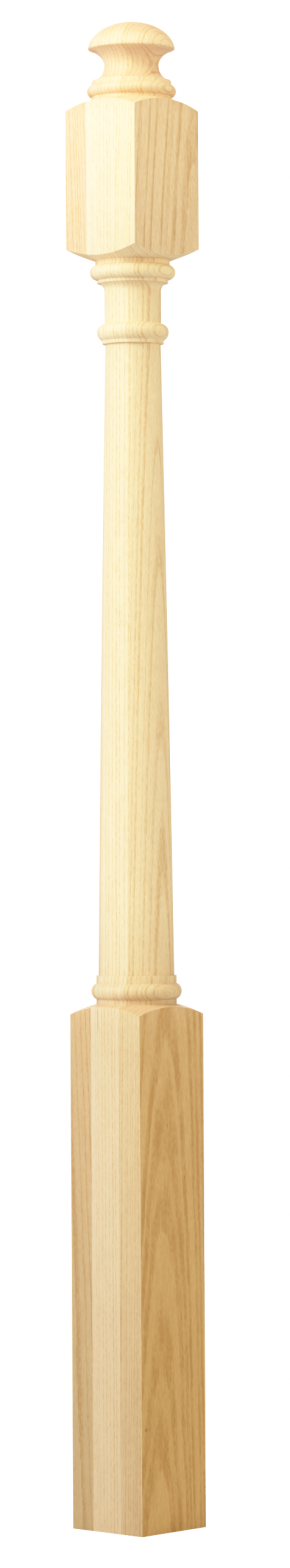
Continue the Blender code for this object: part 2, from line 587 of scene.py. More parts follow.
class ValueKind(Enum):
    """What a socket carries, with the type and the sockets of a mix node for it."""

    NUMBER = ("FLOAT", "NodeSocketFloat", 2, 3, 0)
    VECTOR = ("VECTOR", "NodeSocketVector", 4, 5, 1)
    COLOUR = ("RGBA", "NodeSocketColor", 6, 7, 2)

    @classmethod
    def of(cls, value: Value) -> "ValueKind":
        """Returns the kind of a plain value: a number, three numbers, or a colour of four."""
        if isinstance(value, float):
            return cls.NUMBER
        return cls.VECTOR if len(value) == 3 else cls.COLOUR

    @property
    def socket_type(self) -> str:
        """The type of a group's socket for this kind."""
        return self.value[1]


class Wiring:
    """Adds nodes to one node tree and joins them."""

    def __init__(self, tree: bpy.types.NodeTree) -> None:
        """Starts on an empty tree."""
        self.tree = tree

    def node(self, kind: str) -> bpy.types.Node:
        """Adds a node of a kind."""
        return self.tree.nodes.new(kind)

    def feed(self, socket: Socket, value: Feed) -> None:
        """Links a socket to value, or sets it where value is plain numbers."""
        if isinstance(value, bpy.types.NodeSocket):
            self.tree.links.new(value, socket)
        else:
            socket.default_value = value

    def math(self, operation: str, *values: Feed) -> Socket:
        """Returns an operation on one to three numbers."""
        node = self.node("ShaderNodeMath")
        node.operation = operation
        for socket, value in zip(node.inputs, values):
            self.feed(socket, value)
        return node.outputs["Value"]

    def times(self, first: Feed, second: Feed) -> Socket:
        """Returns the product of two numbers."""
        return self.math("MULTIPLY", first, second)

    def plus(self, first: Feed, second: Feed) -> Socket:
        """Returns the sum of two numbers."""
        return self.math("ADD", first, second)

    def minus(self, first: Feed, second: Feed) -> Socket:
        """Returns the first number less the second."""
        return self.math("SUBTRACT", first, second)

    def line(self, value: Feed, slope: Feed, start: Feed) -> Socket:
        """Returns value times slope plus start."""
        return self.math("MULTIPLY_ADD", value, slope, start)

    def vector(self, operation: str, *values: Feed) -> Socket:
        """Returns an operation on vectors, as a vector, or as a number for a length."""
        node = self.node("ShaderNodeVectorMath")
        node.operation = operation
        for socket, value in zip(node.inputs, values):
            self.feed(socket, value)
        return node.outputs["Value" if operation in ("LENGTH", "DOT_PRODUCT") else "Vector"]

    def scaled(self, vector: Feed, factor: Feed) -> Socket:
        """Returns a vector times a number."""
        node = self.node("ShaderNodeVectorMath")
        node.operation = "SCALE"
        self.feed(node.inputs[0], vector)
        self.feed(node.inputs["Scale"], factor)
        return node.outputs["Vector"]

    def on_plan(self, vector: Feed) -> Socket:
        """Returns a vector with its height taken out."""
        return self.vector("MULTIPLY", vector, (1.0, 1.0, 0.0))

    def parts(self, vector: Socket) -> tuple[Socket, Socket, Socket]:
        """Returns the X, Y and Z of a vector."""
        node = self.node("ShaderNodeSeparateXYZ")
        self.feed(node.inputs[0], vector)
        return node.outputs["X"], node.outputs["Y"], node.outputs["Z"]

    def joined(self, *values: Feed) -> Socket:
        """Returns a vector of three numbers."""
        node = self.node("ShaderNodeCombineXYZ")
        for socket, value in zip(node.inputs, values):
            self.feed(socket, value)
        return node.outputs["Vector"]

    def noise(self, place: Socket, grain: Triple, detail: float, colour: bool = False) -> Socket:
        """Returns soft noise over a place.

        Args:
            place: where to read it, in millimetres.
            grain: size of the noise along X, Y and Z, in millimetres.
            detail: finer layers added on top.
            colour: three unlike values as a colour, in place of one.
        """
        node = self.node("ShaderNodeTexNoise")
        node.inputs["Scale"].default_value = 1.0
        node.inputs["Detail"].default_value = detail
        self.feed(node.inputs["Vector"], self.vector("DIVIDE", place, grain))
        return node.outputs["Color" if colour else "Fac"]

    def push(self, place: Socket, grain: Triple, detail: float) -> Socket:
        """Returns a vector of noise round zero."""
        return self.vector("SUBTRACT", self.noise(place, grain, detail, colour=True), (0.5, 0.5, 0.5))

    def line_noise(self, along: Socket, detail: float) -> Socket:
        """Returns soft noise along one number.

        Args:
            along: the number.
            detail: finer layers added on top.
        """
        node = self.node("ShaderNodeTexNoise")
        node.noise_dimensions = "1D"
        node.inputs["Scale"].default_value = 1.0
        node.inputs["Detail"].default_value = detail
        self.feed(node.inputs["W"], along)
        return node.outputs["Fac"]

    def chance(self, number: Socket) -> Socket:
        """Returns one fixed random value for each whole number."""
        node = self.node("ShaderNodeTexWhiteNoise")
        node.noise_dimensions = "1D"
        self.feed(node.inputs["W"], number)
        return node.outputs["Value"]

    def ease(self, value: Feed, low: Feed, high: Feed) -> Socket:
        """Returns 0 below low and 1 above high, with a soft rise between them."""
        node = self.node("ShaderNodeMapRange")
        node.interpolation_type = "SMOOTHSTEP"
        for socket, given in zip(node.inputs, (value, low, high)):
            self.feed(socket, given)
        return node.outputs["Result"]

    def fade(self, value: Feed, low: Feed, high: Feed) -> Socket:
        """Returns 1 below low and 0 above high, with a soft fall between them."""
        return self.minus(1.0, self.ease(value, low, high))

    def remap(self, value: Feed, low: Feed, high: Feed, to_low: Feed, to_high: Feed) -> Socket:
        """Returns value carried straight from one range to another, held at its ends."""
        node = self.node("ShaderNodeMapRange")
        for socket, given in zip(node.inputs, (value, low, high, to_low, to_high)):
            self.feed(socket, given)
        return node.outputs["Result"]

    def mix(
        self, factor: Feed, first: Feed, second: Feed, kind: ValueKind = ValueKind.COLOUR
    ) -> Socket:
        """Returns two colours, vectors or numbers mixed.

        Args:
            factor: 0 for the first, 1 for the second.
            first: what 0 gives.
            second: what 1 gives.
            kind: what the two are.
        """
        mix_type, _, first_input, second_input, output = kind.value
        node = self.node("ShaderNodeMix")
        node.data_type = mix_type
        self.feed(node.inputs[0], factor)
        self.feed(node.inputs[first_input], first)
        self.feed(node.inputs[second_input], second)
        return node.outputs[output]

    def tinted(self, colour: Feed, share: Feed, tint: Feed) -> Socket:
        """Returns a colour with its share of a tint."""
        return self.vector("MULTIPLY", colour, self.mix(share, WHITE, tint))


def start_group(name: str, inputs: dict[str, ValueKind], outputs: dict[str, ValueKind]) -> Wiring:
    """Starts a node group with named sockets.

    Args:
        name: of the group.
        inputs: kind of each input, by its name.
        outputs: kind of each output, by its name.

    Returns:
        The wiring of the group's own tree.
    """
    tree = bpy.data.node_groups.new(name, "ShaderNodeTree")
    for in_out, sockets in (("INPUT", inputs), ("OUTPUT", outputs)):
        for socket, kind in sockets.items():
            tree.interface.new_socket(name=socket, in_out=in_out, socket_type=kind.socket_type)
    return Wiring(tree)


class BoardPlace(Enum):
    """The three boards of the blank, by where they lie across X."""

    LEFT = "left"
    MIDDLE = "middle"
    RIGHT = "right"


@dataclass(frozen=True)
class Board:
    """How one board of the blank was sawn and what its wood is like. Lengths in millimetres.

    Attributes:
        pith: the tree's heart at the foot of the post.
        ring_width: width of a year's growth.
        sway: how far the rings wander along the board.
        seed: keeps the chances of this board apart from the others'.
        contrast: strength of the rings.
        common_years: strength of the years between the heavy ones.
        speckle: strength of the short fibres.
        late_colour: of the dense summer wood.
        early_colour: of the open spring wood.
        pore_colour: of an open pore.
        plain_tint: how the colour deepens where a surface lies along the rings. On the right board it also
            paints the shade and the warm light from the right on its right face.
        foot_tint: how it deepens down in the foot of the post.
        plain_foot_tint: how it deepens where both are so. On the right board it also paints the deeper,
            warmer shade low on its right face.
        drift: how far the heart moves for each millimetre up the post.
        bend: how much more it moves above the foot block.
        run_out: how far the years shift for each millimetre up the post.
        foot_run_out: how much more they shift in the foot block.
        heavy_years: distance from the heart of the years with the heaviest spring wood, in threes.
    """

    pith: Triple
    ring_width: float
    sway: float
    seed: float
    contrast: float
    common_years: float
    speckle: float
    late_colour: Colour
    early_colour: Colour
    pore_colour: Colour
    plain_tint: Colour
    foot_tint: Colour
    plain_foot_tint: Colour
    drift: Triple = (0.0, 0.0, 0.0)
    bend: Triple = (0.0, 0.0, 0.0)
    run_out: float = 0.0
    foot_run_out: float = 0.0
    heavy_years: tuple[Triple, ...] = ((0.0, 0.0, 0.0),) * len(HEAVY_YEAR_ORDER)

    def inputs(self) -> dict[str, Value]:
        """Returns the board's values by the names of the growth ring group's inputs."""
        inputs = {name.replace("_", " ").title(): value for name, value in vars(self).items()}
        for order, years in zip(HEAVY_YEAR_ORDER, inputs.pop("Heavy Years")):
            inputs[order + " Heavy Years"] = years
        return inputs


class GrowthRings:
    """The node group that draws a board's wood in the solid, from the values of whichever board it is.

    Lengths are in millimetres. A pair is where a soft edge starts and ends, unless its comment differs.
    """

    NAME = "growth_rings"
    # How far a unit of the seed moves the pattern
    SEED_AWAY = (131.0, 57.0, 211.0)
    # How the rings wander: size of the noise, its detail and its share of the sway
    WANDER = (
        ((90.0, 90.0, 260.0), 1.0, 1.0),
        ((24.0, 24.0, 80.0), 1.0, 1.30),
        ((6.0, 6.0, 22.0), 2.0, 0.55),
        ((2.2, 2.2, 9.0), 1.0, 0.32),
    )
    # Soft streaks: size of the noise, its detail and its change of depth
    FIBRES = (
        ((2.2, 2.2, 30.0), 1.0, 0.014),
        ((4.5, 4.5, 80.0), 1.0, 0.016),
        ((9.0, 9.0, 22.0), 1.0, 0.020),
        ((18.0, 18.0, 120.0), 1.0, 0.020),
    )
    FIBRE_RANGE = (0.25, 0.75)
    SPECKLE = (0.72, 0.72, 5.0)
    SPECKLE_CHANGE = 0.11
    LEAST_SPECKLE = 0.6
    # How squarely a flat faces the heart where it starts to count as lying along the rings, and is wholly so
    ALONG_RINGS = (0.5, 0.96)
    # How far turned surfaces count as lying along them: slender parts, beads, and the radii between
    TURNED_PLAIN = 0.50
    PROUD_PLAIN = 0.12
    PROUD_RADII = (30.5, 33.5)
    # Common years: shares of a year's width, and strengths
    SPACING_CHANGE = 0.23
    SEED_STEP = 37.0
    LINE_START = 0.10
    LEAST_WIDTH = 0.12
    MORE_WIDTH = 0.22
    LINE_END = (0.5, 1.8)
    LEAST_STRENGTH = 0.5
    BEYOND_HEAVY = 3.0
    # Heavy years, measured outwards from the middle of each
    HEAVY_RISE = (-0.28, -0.15)
    HEAVY_FADE = (0.08, 0.48)
    TURNED_HEAVY = 0.35
    # Patches where the spring wood shows less
    BLOTCH = (7.0, 7.0, 40.0)
    BLOTCH_RANGE = (0.38, 0.62)
    LEAST_BLOTCH = 0.30
    LEAST_COMMON_BLOTCH = 0.65
    # Pores
    WIDE_PORES = (1.0, 1.0, 4.6)
    WIDE_EDGE = (0.46, 0.56)
    FINE_PORES = (0.70, 0.70, 3.6)
    FINE_EDGE = (0.60, 0.70)
    FINE_SHARE = 0.35
    SPREAD = 0.6
    CROWD = (8.0, 8.0, 40.0)
    CROWD_RANGE = (0.3, 0.7, -0.05, 0.05)
    # Strength of the colours: on a surface across the rings, and the change along them
    SPRING_DEPTH = (0.60, 0.40)
    PORE_DEPTH = (0.85, -0.10)
    # Rays: how direction, distance and height are stretched, and the change of depth that they make
    RAY_STRETCH = (160.0, 0.07, 0.16)
    RAY_RANGE = (0.60, 0.78, 0.0, 0.05)
    # How a unit of depth darkens red, green and blue
    DARKENING = (-0.7, -1.1, -1.7)
    # Heights on the post
    FOOT_DEEP = 90.0
    FOOT_SHOULDER = 380.0
    FOOT_BLOCK_TOP = 420.0
    FOOT_TOP = 520.0
    RAIL_BLOCK_MIDDLE = 1090.0
    FOOT_SHARE = 0.82

    def __init__(self, board: Board) -> None:
        """Builds the group.

        Args:
            board: any board, for the names and kinds of its values.
        """
        inputs = {"Place": ValueKind.VECTOR, "Facing": ValueKind.VECTOR, "Planed": ValueKind.NUMBER}
        inputs.update({name: ValueKind.of(value) for name, value in board.inputs().items()})
        outputs = {"Colour": ValueKind.COLOUR, "Pores": ValueKind.NUMBER}
        self.wiring = start_group(self.NAME, inputs, outputs)
        self.tree = self.wiring.tree
        self.given = self.wiring.node("NodeGroupInput").outputs
        self.height = self.wiring.parts(self.given["Place"])[2]
        seeded = self.seeded_place()
        reach, angle, plain = self.arm_from_pith(seeded)
        spring = self.spring_wood(seeded, reach)
        pores = self.pores(seeded, spring)
        wood = self.ringed(plain, spring, pores)
        wood = self.streaked(seeded, reach, angle, plain, wood)
        result = self.wiring.node("NodeGroupOutput")
        self.wiring.feed(result.inputs["Colour"], self.deepened(wood, plain))
        self.wiring.feed(result.inputs["Pores"], pores)

    def seeded_place(self) -> Socket:
        """Returns the place moved far off by the seed, so no two boards share a pattern."""
        away = self.wiring.scaled(self.SEED_AWAY, self.given["Seed"])
        return self.wiring.vector("ADD", self.given["Place"], away)

    def arm_from_pith(self, seeded: Socket) -> tuple[Socket, Socket, Socket]:
        """Follows the wandering heart of the trunk.

        Args:
            seeded: place moved by the seed.

        Returns:
            Distance from the heart, direction from it, and how far a surface lies along the rings.
        """
        w, given = self.wiring, self.given
        from_block_top = w.minus(self.height, self.FOOT_BLOCK_TOP)
        over_foot = w.math("MAXIMUM", from_block_top, 0.0)
        climb = w.vector("ADD", w.scaled(given["Drift"], self.height), w.scaled(given["Bend"], over_foot))
        arm = w.on_plan(w.vector("SUBTRACT", given["Place"], w.vector("ADD", given["Pith"], climb)))
        along = w.vector("DOT_PRODUCT", given["Facing"], w.vector("NORMALIZE", arm))
        for grain, detail, share in self.WANDER:
            sway = w.times(given["Sway"], share)
            arm = w.vector("ADD", arm, w.scaled(w.push(seeded, grain, detail), sway))
        arm = w.on_plan(arm)
        flat = w.ease(w.math("ABSOLUTE", along), *self.ALONG_RINGS)
        out = w.vector("LENGTH", w.on_plan(given["Place"]))
        turned = w.remap(out, *self.PROUD_RADII, self.TURNED_PLAIN, self.PROUD_PLAIN)
        plain = w.remap(given["Planed"], 0.0, 1.0, turned, flat)
        x, y, _ = w.parts(arm)
        from_rail_block = w.minus(self.height, self.RAIL_BLOCK_MIDDLE)
        in_foot = w.math("MINIMUM", from_block_top, 0.0)
        reach = w.line(from_rail_block, given["Run Out"], w.vector("LENGTH", arm))
        reach = w.line(in_foot, given["Foot Run Out"], reach)
        return reach, w.math("ARCTAN2", y, x), plain

    def common_years(self, reach: Socket) -> Socket:
        """Returns the thin lines of open wood that most years leave, each of its own strength.

        Args:
            reach: distance from the heart.
        """
        w, given = self.wiring, self.given
        spacing = w.line_noise(w.line(reach, self.SPACING_CHANGE, given["Seed"]), 1.0)
        age = w.plus(spacing, w.math("DIVIDE", reach, given["Ring Width"]))
        season = w.math("FRACT", age)
        year = w.line(given["Seed"], self.SEED_STEP, w.math("FLOOR", age))
        width = w.line(w.chance(year), self.MORE_WIDTH, self.LEAST_WIDTH)
        first, last = (w.times(width, share) for share in self.LINE_END)
        line = w.times(w.ease(season, 0.0, self.LINE_START), w.fade(season, first, last))
        outermost = w.parts(given[HEAVY_YEAR_ORDER[-1] + " Heavy Years"])[2]
        beyond = w.ease(w.minus(reach, outermost), 0.0, self.BEYOND_HEAVY)
        even = w.math("MAXIMUM", beyond, w.minus(1.0, given["Planed"]))
        strength = w.remap(even, 0.0, 1.0, given["Common Years"], 1.0)
        marked = w.line(w.chance(w.plus(year, 0.5)), 1.0 - self.LEAST_STRENGTH, self.LEAST_STRENGTH)
        return w.times(line, w.times(strength, marked))

    def heavy_years(self, reach: Socket) -> Socket:
        """Returns the broad bands of the heaviest years, sharp towards the heart and fading outwards.

        Args:
            reach: distance from the heart.
        """
        w = self.wiring
        bands: Feed = 0.0
        for order in HEAVY_YEAR_ORDER:
            for middle in w.parts(self.given[order + " Heavy Years"]):
                past = w.minus(reach, middle)
                band = w.times(w.ease(past, *self.HEAVY_RISE), w.fade(past, *self.HEAVY_FADE))
                bands = w.math("MAXIMUM", bands, band)
        return w.times(bands, w.remap(self.given["Planed"], 0.0, 1.0, self.TURNED_HEAVY, 1.0))

    def spring_wood(self, seeded: Socket, reach: Socket) -> Socket:
        """Returns the mask of open spring wood, light years and heavy ones together.

        Args:
            seeded: place moved by the seed.
            reach: distance from the heart.
        """
        w = self.wiring
        blotch = w.remap(w.noise(seeded, self.BLOTCH, 2.0), *self.BLOTCH_RANGE, self.LEAST_BLOTCH, 1.0)
        softer = w.line(blotch, 1.0 - self.LEAST_COMMON_BLOTCH, self.LEAST_COMMON_BLOTCH)
        common = w.times(self.common_years(reach), softer)
        return w.math("MAXIMUM", common, w.times(self.heavy_years(reach), blotch))

    def pores(self, seeded: Socket, spring: Socket) -> Socket:
        """Returns the long open pores, crowded in spring wood and sparse in summer wood.

        Args:
            seeded: place moved by the seed.
            spring: mask of spring wood.
        """
        w = self.wiring
        wide = w.ease(w.noise(seeded, self.WIDE_PORES, 1.0), *self.WIDE_EDGE)
        rows = w.times(wide, w.math("POWER", spring, self.SPREAD))
        crowd = w.remap(w.noise(seeded, self.CROWD, 1.0), *self.CROWD_RANGE)
        fine = w.plus(w.noise(seeded, self.FINE_PORES, 1.0), crowd)
        return w.math("MAXIMUM", rows, w.times(w.ease(fine, *self.FINE_EDGE), self.FINE_SHARE))

    def ringed(self, plain: Socket, spring: Socket, pores: Socket) -> Socket:
        """Returns the wood's colour with its years and pores.

        Args:
            plain: how far a surface lies along the rings, 0 to 1.
            spring: mask of spring wood.
            pores: mask of pores.
        """
        w, given = self.wiring, self.given
        wood: Feed = given["Late Colour"]
        for mask, (across, change), name in (
            (spring, self.SPRING_DEPTH, "Early Colour"),
            (pores, self.PORE_DEPTH, "Pore Colour"),
        ):
            depth = w.times(mask, w.line(plain, change, across))
            wood = w.mix(w.times(depth, given["Contrast"]), wood, given[name])
        return wood

    def streaked(
        self, seeded: Socket, reach: Socket, angle: Socket, plain: Socket, wood: Socket
    ) -> Socket:
        """Returns the wood with its speckle, fibres and rays.

        Args:
            seeded: place moved by the seed.
            reach: distance from the heart.
            angle: direction from the heart.
            plain: how far a surface lies along the rings, 0 to 1.
            wood: colour so far.
        """
        w = self.wiring
        strand = w.noise(seeded, self.SPECKLE, 1.0)
        strand = w.remap(strand, *self.FIBRE_RANGE, -self.SPECKLE_CHANGE, self.SPECKLE_CHANGE)
        crowd = w.line(plain, 1.0 - self.LEAST_SPECKLE, self.LEAST_SPECKLE)
        depth = w.times(strand, w.times(crowd, self.given["Speckle"]))
        for grain, detail, change in self.FIBRES:
            strand = w.noise(seeded, grain, detail)
            depth = w.plus(depth, w.remap(strand, *self.FIBRE_RANGE, -change, change))
        along = (angle, reach, w.parts(seeded)[2])
        sheet = w.joined(*(w.times(value, stretch) for value, stretch in zip(along, self.RAY_STRETCH)))
        rays = w.noise(sheet, (1.0, 1.0, 1.0), 0.5)
        depth = w.plus(depth, w.remap(rays, *self.RAY_RANGE))
        darker = w.joined(*(w.line(depth, darkening, 1.0) for darkening in self.DARKENING))
        return w.vector("MULTIPLY", wood, darker)

    def deepened(self, wood: Socket, plain: Socket) -> Socket:
        """Returns the wood, deeper on plain-sawn surfaces and in the foot of the post. On the right board's
        right face that deepening is painted shade and painted warm light from the right, stronger low down.

        Args:
            wood: colour so far.
            plain: how far a surface lies along the rings, 0 to 1.
        """
        w, given = self.wiring, self.given
        upper = w.fade(self.height, self.FOOT_SHOULDER, self.FOOT_TOP)
        lower = w.fade(self.height, self.FOOT_DEEP, self.FOOT_SHOULDER)
        low = w.line(upper, self.FOOT_SHARE, w.times(lower, 1.0 - self.FOOT_SHARE))
        # Painted shade: on the right board the plain-sawn tint also darkens and warms its right face, in
        # place of the shade and warm light that fall there
        above = w.mix(plain, WHITE, given["Plain Tint"])
        below = w.mix(plain, given["Foot Tint"], given["Plain Foot Tint"])
        return w.vector("MULTIPLY", wood, w.mix(low, above, below))


class Spot:
    """The node group for one soft-edged spot in the wood. It is built once and used for each mark."""

    NAME = "spot"
    SOFT_EDGE = (0.55, 1.0)

    def __init__(self) -> None:
        """Builds the group."""
        inputs = {name: ValueKind.VECTOR for name in ("Place", "Centre", "Reach")}
        w = start_group(self.NAME, inputs, {"Mask": ValueKind.NUMBER})
        self.tree = w.tree
        given = w.node("NodeGroupInput").outputs
        away = w.vector("DIVIDE", w.vector("SUBTRACT", given["Place"], given["Centre"]), given["Reach"])
        mask = w.fade(w.vector("LENGTH", away), *self.SOFT_EDGE)
        w.feed(w.node("NodeGroupOutput").inputs["Mask"], mask)


class Surface:
    """The wiring of a material, with what it reads of the surface under each point."""

    def __init__(self, material: bpy.types.Material) -> None:
        """Reads the place, in millimetres, and the normal."""
        self.wiring = Wiring(material.node_tree)
        coordinates = self.wiring.node("ShaderNodeTexCoord").outputs
        self.normal = coordinates["Normal"]
        self.place = self.wiring.scaled(coordinates["Object"], MILLIMETRES)
        self.x, self.y, self.z = self.wiring.parts(self.place)


@dataclass(frozen=True)
class Mark:
    """A small natural mark in the wood. Lengths in millimetres.

    Attributes:
        centre: its middle.
        reach: how far it goes from there along X, Y and Z.
        tint: what it does to the colour of the wood.
    """

    centre: Triple
    reach: Triple
    tint: Colour


@dataclass(frozen=True)
class GluedUpOak:
    """Bare sanded oak, three boards glued side by side. Lengths in millimetres.

    Attributes:
        boards: the wood of each board.
        seams: X of the two glue lines, left and right.
        marks: pin knots, checks and stains.
        half: half the width of the stock.
        roughness: of the sanded surface.
        pore_roughness: what an open pore adds to it.
        patch_roughness: how much it changes from patch to patch.
        specular: strength of its dull shine.
        end_ramp: how far a surface tilts up or down where each tint starts and where it is whole.
        over_tint: colour of end grain that looks up.
        under_tint: painted cool bounce light from the floor, on surfaces that look down.
        finial_tint: colour of the finial against the block below it.
        finial_ramp: heights between which that colour comes in.
        sapwood_tint: colour of the pale strip beside the left glue line.
        sapwood_edge: where the strip starts and ends to fade, from that glue line.
        sapwood_ramp: heights between which the strip comes in.
        arris_colour: of the painted highlight along a corner that sandpaper has eased.
        arris_share: how much of that colour shows.
        arris_edge: where it starts and ends to fade, from the corner.
        pore_depth: of an open pore in the relief.
        fibre_height: of a raised fibre.
        tool_height: of the rings that the turning tool left.
    """

    # Noises: their size along X, Y and Z, and where their soft edges start and end
    RAGGED = (1.5, 1.5, 4.0)
    PATCH = (9.0, 9.0, 60.0)
    PATCH_RANGE = (0.3, 0.7)
    OPEN_PORE = (1.0, 1.0, 4.6)
    OPEN_PORE_EDGE = (0.50, 0.60)
    RAISED_FIBRE = (0.5, 0.5, 22.0)
    TOOL_RINGS_PER_MM = 1.9
    # How far inside the flats a surface counts as turned, from wholly to not at all
    TURNED_INSIDE = 0.5
    FLAT_INSIDE = 0.1

    boards: dict[BoardPlace, Board]
    seams: Point
    marks: tuple[Mark, ...]
    half: float
    roughness: float = 0.56
    pore_roughness: float = 0.18
    patch_roughness: float = 0.05
    specular: float = 0.28
    end_ramp: Point = (0.30, 1.0)
    over_tint: Colour = (0.95, 0.87, 0.84, 1.0)
    under_tint: Colour = (0.93, 0.96, 1.06, 1.0)
    finial_tint: Colour = (0.97, 0.88, 0.86, 1.0)
    finial_ramp: Point = (1138.0, 1166.0)
    sapwood_tint: Colour = (1.01, 1.04, 1.10, 1.0)
    sapwood_edge: Point = (6.5, 9.0)
    sapwood_ramp: Point = (140.0, 330.0)
    arris_colour: Colour = (0.95, 0.84, 0.62, 1.0)
    arris_share: float = 0.35
    arris_edge: Point = (0.25, 0.6)
    pore_depth: float = 0.025
    fibre_height: float = 0.010
    tool_height: float = 0.020

    def material(self) -> bpy.types.Material:
        """Returns the finished material."""
        material = bpy.data.materials.new("sanded_oak")
        material.use_nodes = True
        shader = material.node_tree.nodes["Principled BSDF"]
        on = Surface(material)
        w = on.wiring
        turned = self.turned_mask(on)
        wood = self.board_wood(on, turned)
        colour = self.end_grain(on, wood["Colour"])
        colour = w.tinted(colour, w.ease(on.z, *self.finial_ramp), self.finial_tint)
        colour = self.pale_strip(on, colour)
        colour = self.marked(on, colour)
        colour = self.worn_arrises(on, colour)
        w.feed(shader.inputs["Base Color"], colour)
        w.feed(shader.inputs["Roughness"], self.sanded(on, wood["Pores"]))
        shader.inputs["Specular IOR Level"].default_value = self.specular
        w.feed(shader.inputs["Normal"], self.relief(on, turned))
        return material

    def board_wood(self, on: Surface, turned: Socket) -> bpy.types.NodeOutputs:
        """Returns what the growth ring group gives for the board that a place lies in.

        Args:
            on: the surface.
            turned: 1 where it is turned, 0 on the flats.
        """
        w = on.wiring
        node = w.node("ShaderNodeGroup")
        node.node_tree = GrowthRings(self.boards[BoardPlace.LEFT]).tree
        w.feed(node.inputs["Place"], on.place)
        w.feed(node.inputs["Facing"], on.normal)
        w.feed(node.inputs["Planed"], w.minus(1.0, turned))
        past_seams = [w.math("GREATER_THAN", on.x, seam) for seam in self.seams]
        boards = [self.boards[which].inputs() for which in BoardPlace]
        for name in boards[0]:
            w.feed(node.inputs[name], self.pick(w, past_seams, [board[name] for board in boards]))
        return node.outputs

    def pick(self, w: Wiring, past_seams: Sequence[Socket], values: Sequence[Value]) -> Feed:
        """Returns the value of the board that a place lies in.

        Args:
            w: wiring of the material.
            past_seams: a mask for each glue line, 1 to its right.
            values: one for each board, from left to right.
        """
        result: Feed = values[0]
        for mask, before, value in zip(past_seams, values, values[1:]):
            if value != before:
                result = w.mix(mask, result, value, ValueKind.of(value))
        return result

    def turned_mask(self, on: Surface) -> Socket:
        """Returns 1 on lathe-cut surfaces and 0 on the planed flats."""
        w = on.wiring
        out = w.math("MAXIMUM", w.math("ABSOLUTE", on.x), w.math("ABSOLUTE", on.y))
        return w.fade(out, self.half - self.TURNED_INSIDE, self.half - self.FLAT_INSIDE)

    def end_grain(self, on: Surface, colour: Socket) -> Socket:
        """Returns the colour deeper on top, where the fibres are cut across, and greyer underneath, where it
        paints cool bounce light from the floor.

        Args:
            on: the surface.
            colour: so far.
        """
        w = on.wiring
        up = w.parts(on.normal)[2]
        over = w.mix(w.ease(up, *self.end_ramp), WHITE, self.over_tint)
        # Painted light: the cool grey tint on surfaces that look down stands for bounce light from the floor
        under = w.mix(w.ease(w.times(up, -1.0), *self.end_ramp), WHITE, self.under_tint)
        return w.vector("MULTIPLY", colour, w.vector("MULTIPLY", over, under))

    def pale_strip(self, on: Surface, colour: Socket) -> Socket:
        """Returns the colour with the strip of sapwood along the middle board's left edge.

        Args:
            on: the surface.
            colour: so far.
        """
        w, seam = on.wiring, self.seams[0]
        inside = w.fade(on.x, *(seam + edge for edge in self.sapwood_edge))
        inside = w.times(inside, w.math("GREATER_THAN", on.x, seam))
        inside = w.times(inside, w.ease(on.z, *self.sapwood_ramp))
        return w.tinted(colour, inside, self.sapwood_tint)

    def marked(self, on: Surface, colour: Socket) -> Socket:
        """Returns the colour with the marks in it.

        Args:
            on: the surface.
            colour: so far.
        """
        w, spot = on.wiring, Spot()
        ragged = w.push(on.place, self.RAGGED, 1.0)
        for mark in self.marks:
            node = w.node("ShaderNodeGroup")
            node.node_tree = spot.tree
            w.feed(node.inputs["Place"], w.vector("MULTIPLY_ADD", ragged, mark.reach, on.place))
            w.feed(node.inputs["Centre"], mark.centre)
            w.feed(node.inputs["Reach"], mark.reach)
            colour = w.tinted(colour, node.outputs["Mask"], mark.tint)
        return colour

    def worn_arrises(self, on: Surface, colour: Socket) -> Socket:
        """Returns the colour, paler in a hairline along the corners that sandpaper has eased: a painted
        highlight where they catch the light.

        Args:
            on: the surface.
            colour: so far.
        """
        w = on.wiring
        gap_x, gap_y = (w.minus(self.half, w.math("ABSOLUTE", value)) for value in (on.x, on.y))
        # Painted highlight: a pale hairline along each corner of the flats
        pale = w.fade(w.math("MAXIMUM", gap_x, gap_y), *self.arris_edge)
        return w.mix(w.times(pale, self.arris_share), colour, self.arris_colour)

    def sanded(self, on: Surface, pores: Socket) -> Socket:
        """Returns the roughness, higher in pores and changing from patch to patch.

        Args:
            on: the surface.
            pores: mask of pores.
        """
        w = on.wiring
        patch = w.noise(on.place, self.PATCH, 2.0)
        patch = w.remap(patch, *self.PATCH_RANGE, -self.patch_roughness, self.patch_roughness)
        return w.plus(w.line(pores, self.pore_roughness, self.roughness), patch)

    def relief(self, on: Surface, turned: Socket) -> Socket:
        """Returns the normal of the sanded surface: long open pores, raised fibres, faint tool rings.

        Args:
            on: the surface.
            turned: 1 where it is turned, 0 on the flats.
        """
        w = on.wiring
        pores = w.ease(w.noise(on.place, self.OPEN_PORE, 1.0), *self.OPEN_PORE_EDGE)
        fibre = w.noise(on.place, self.RAISED_FIBRE, 2.0)
        rings = w.line_noise(w.times(on.z, self.TOOL_RINGS_PER_MM), 2.0)
        height = w.times(pores, -self.pore_depth)
        height = w.line(fibre, self.fibre_height, height)
        height = w.plus(height, w.times(w.times(rings, turned), self.tool_height))
        bump = w.node("ShaderNodeBump")
        bump.inputs["Strength"].default_value = 1.0
        bump.inputs["Distance"].default_value = 1.0 / MILLIMETRES
        w.feed(bump.inputs["Height"], height)
        return bump.outputs["Normal"]


# The studio


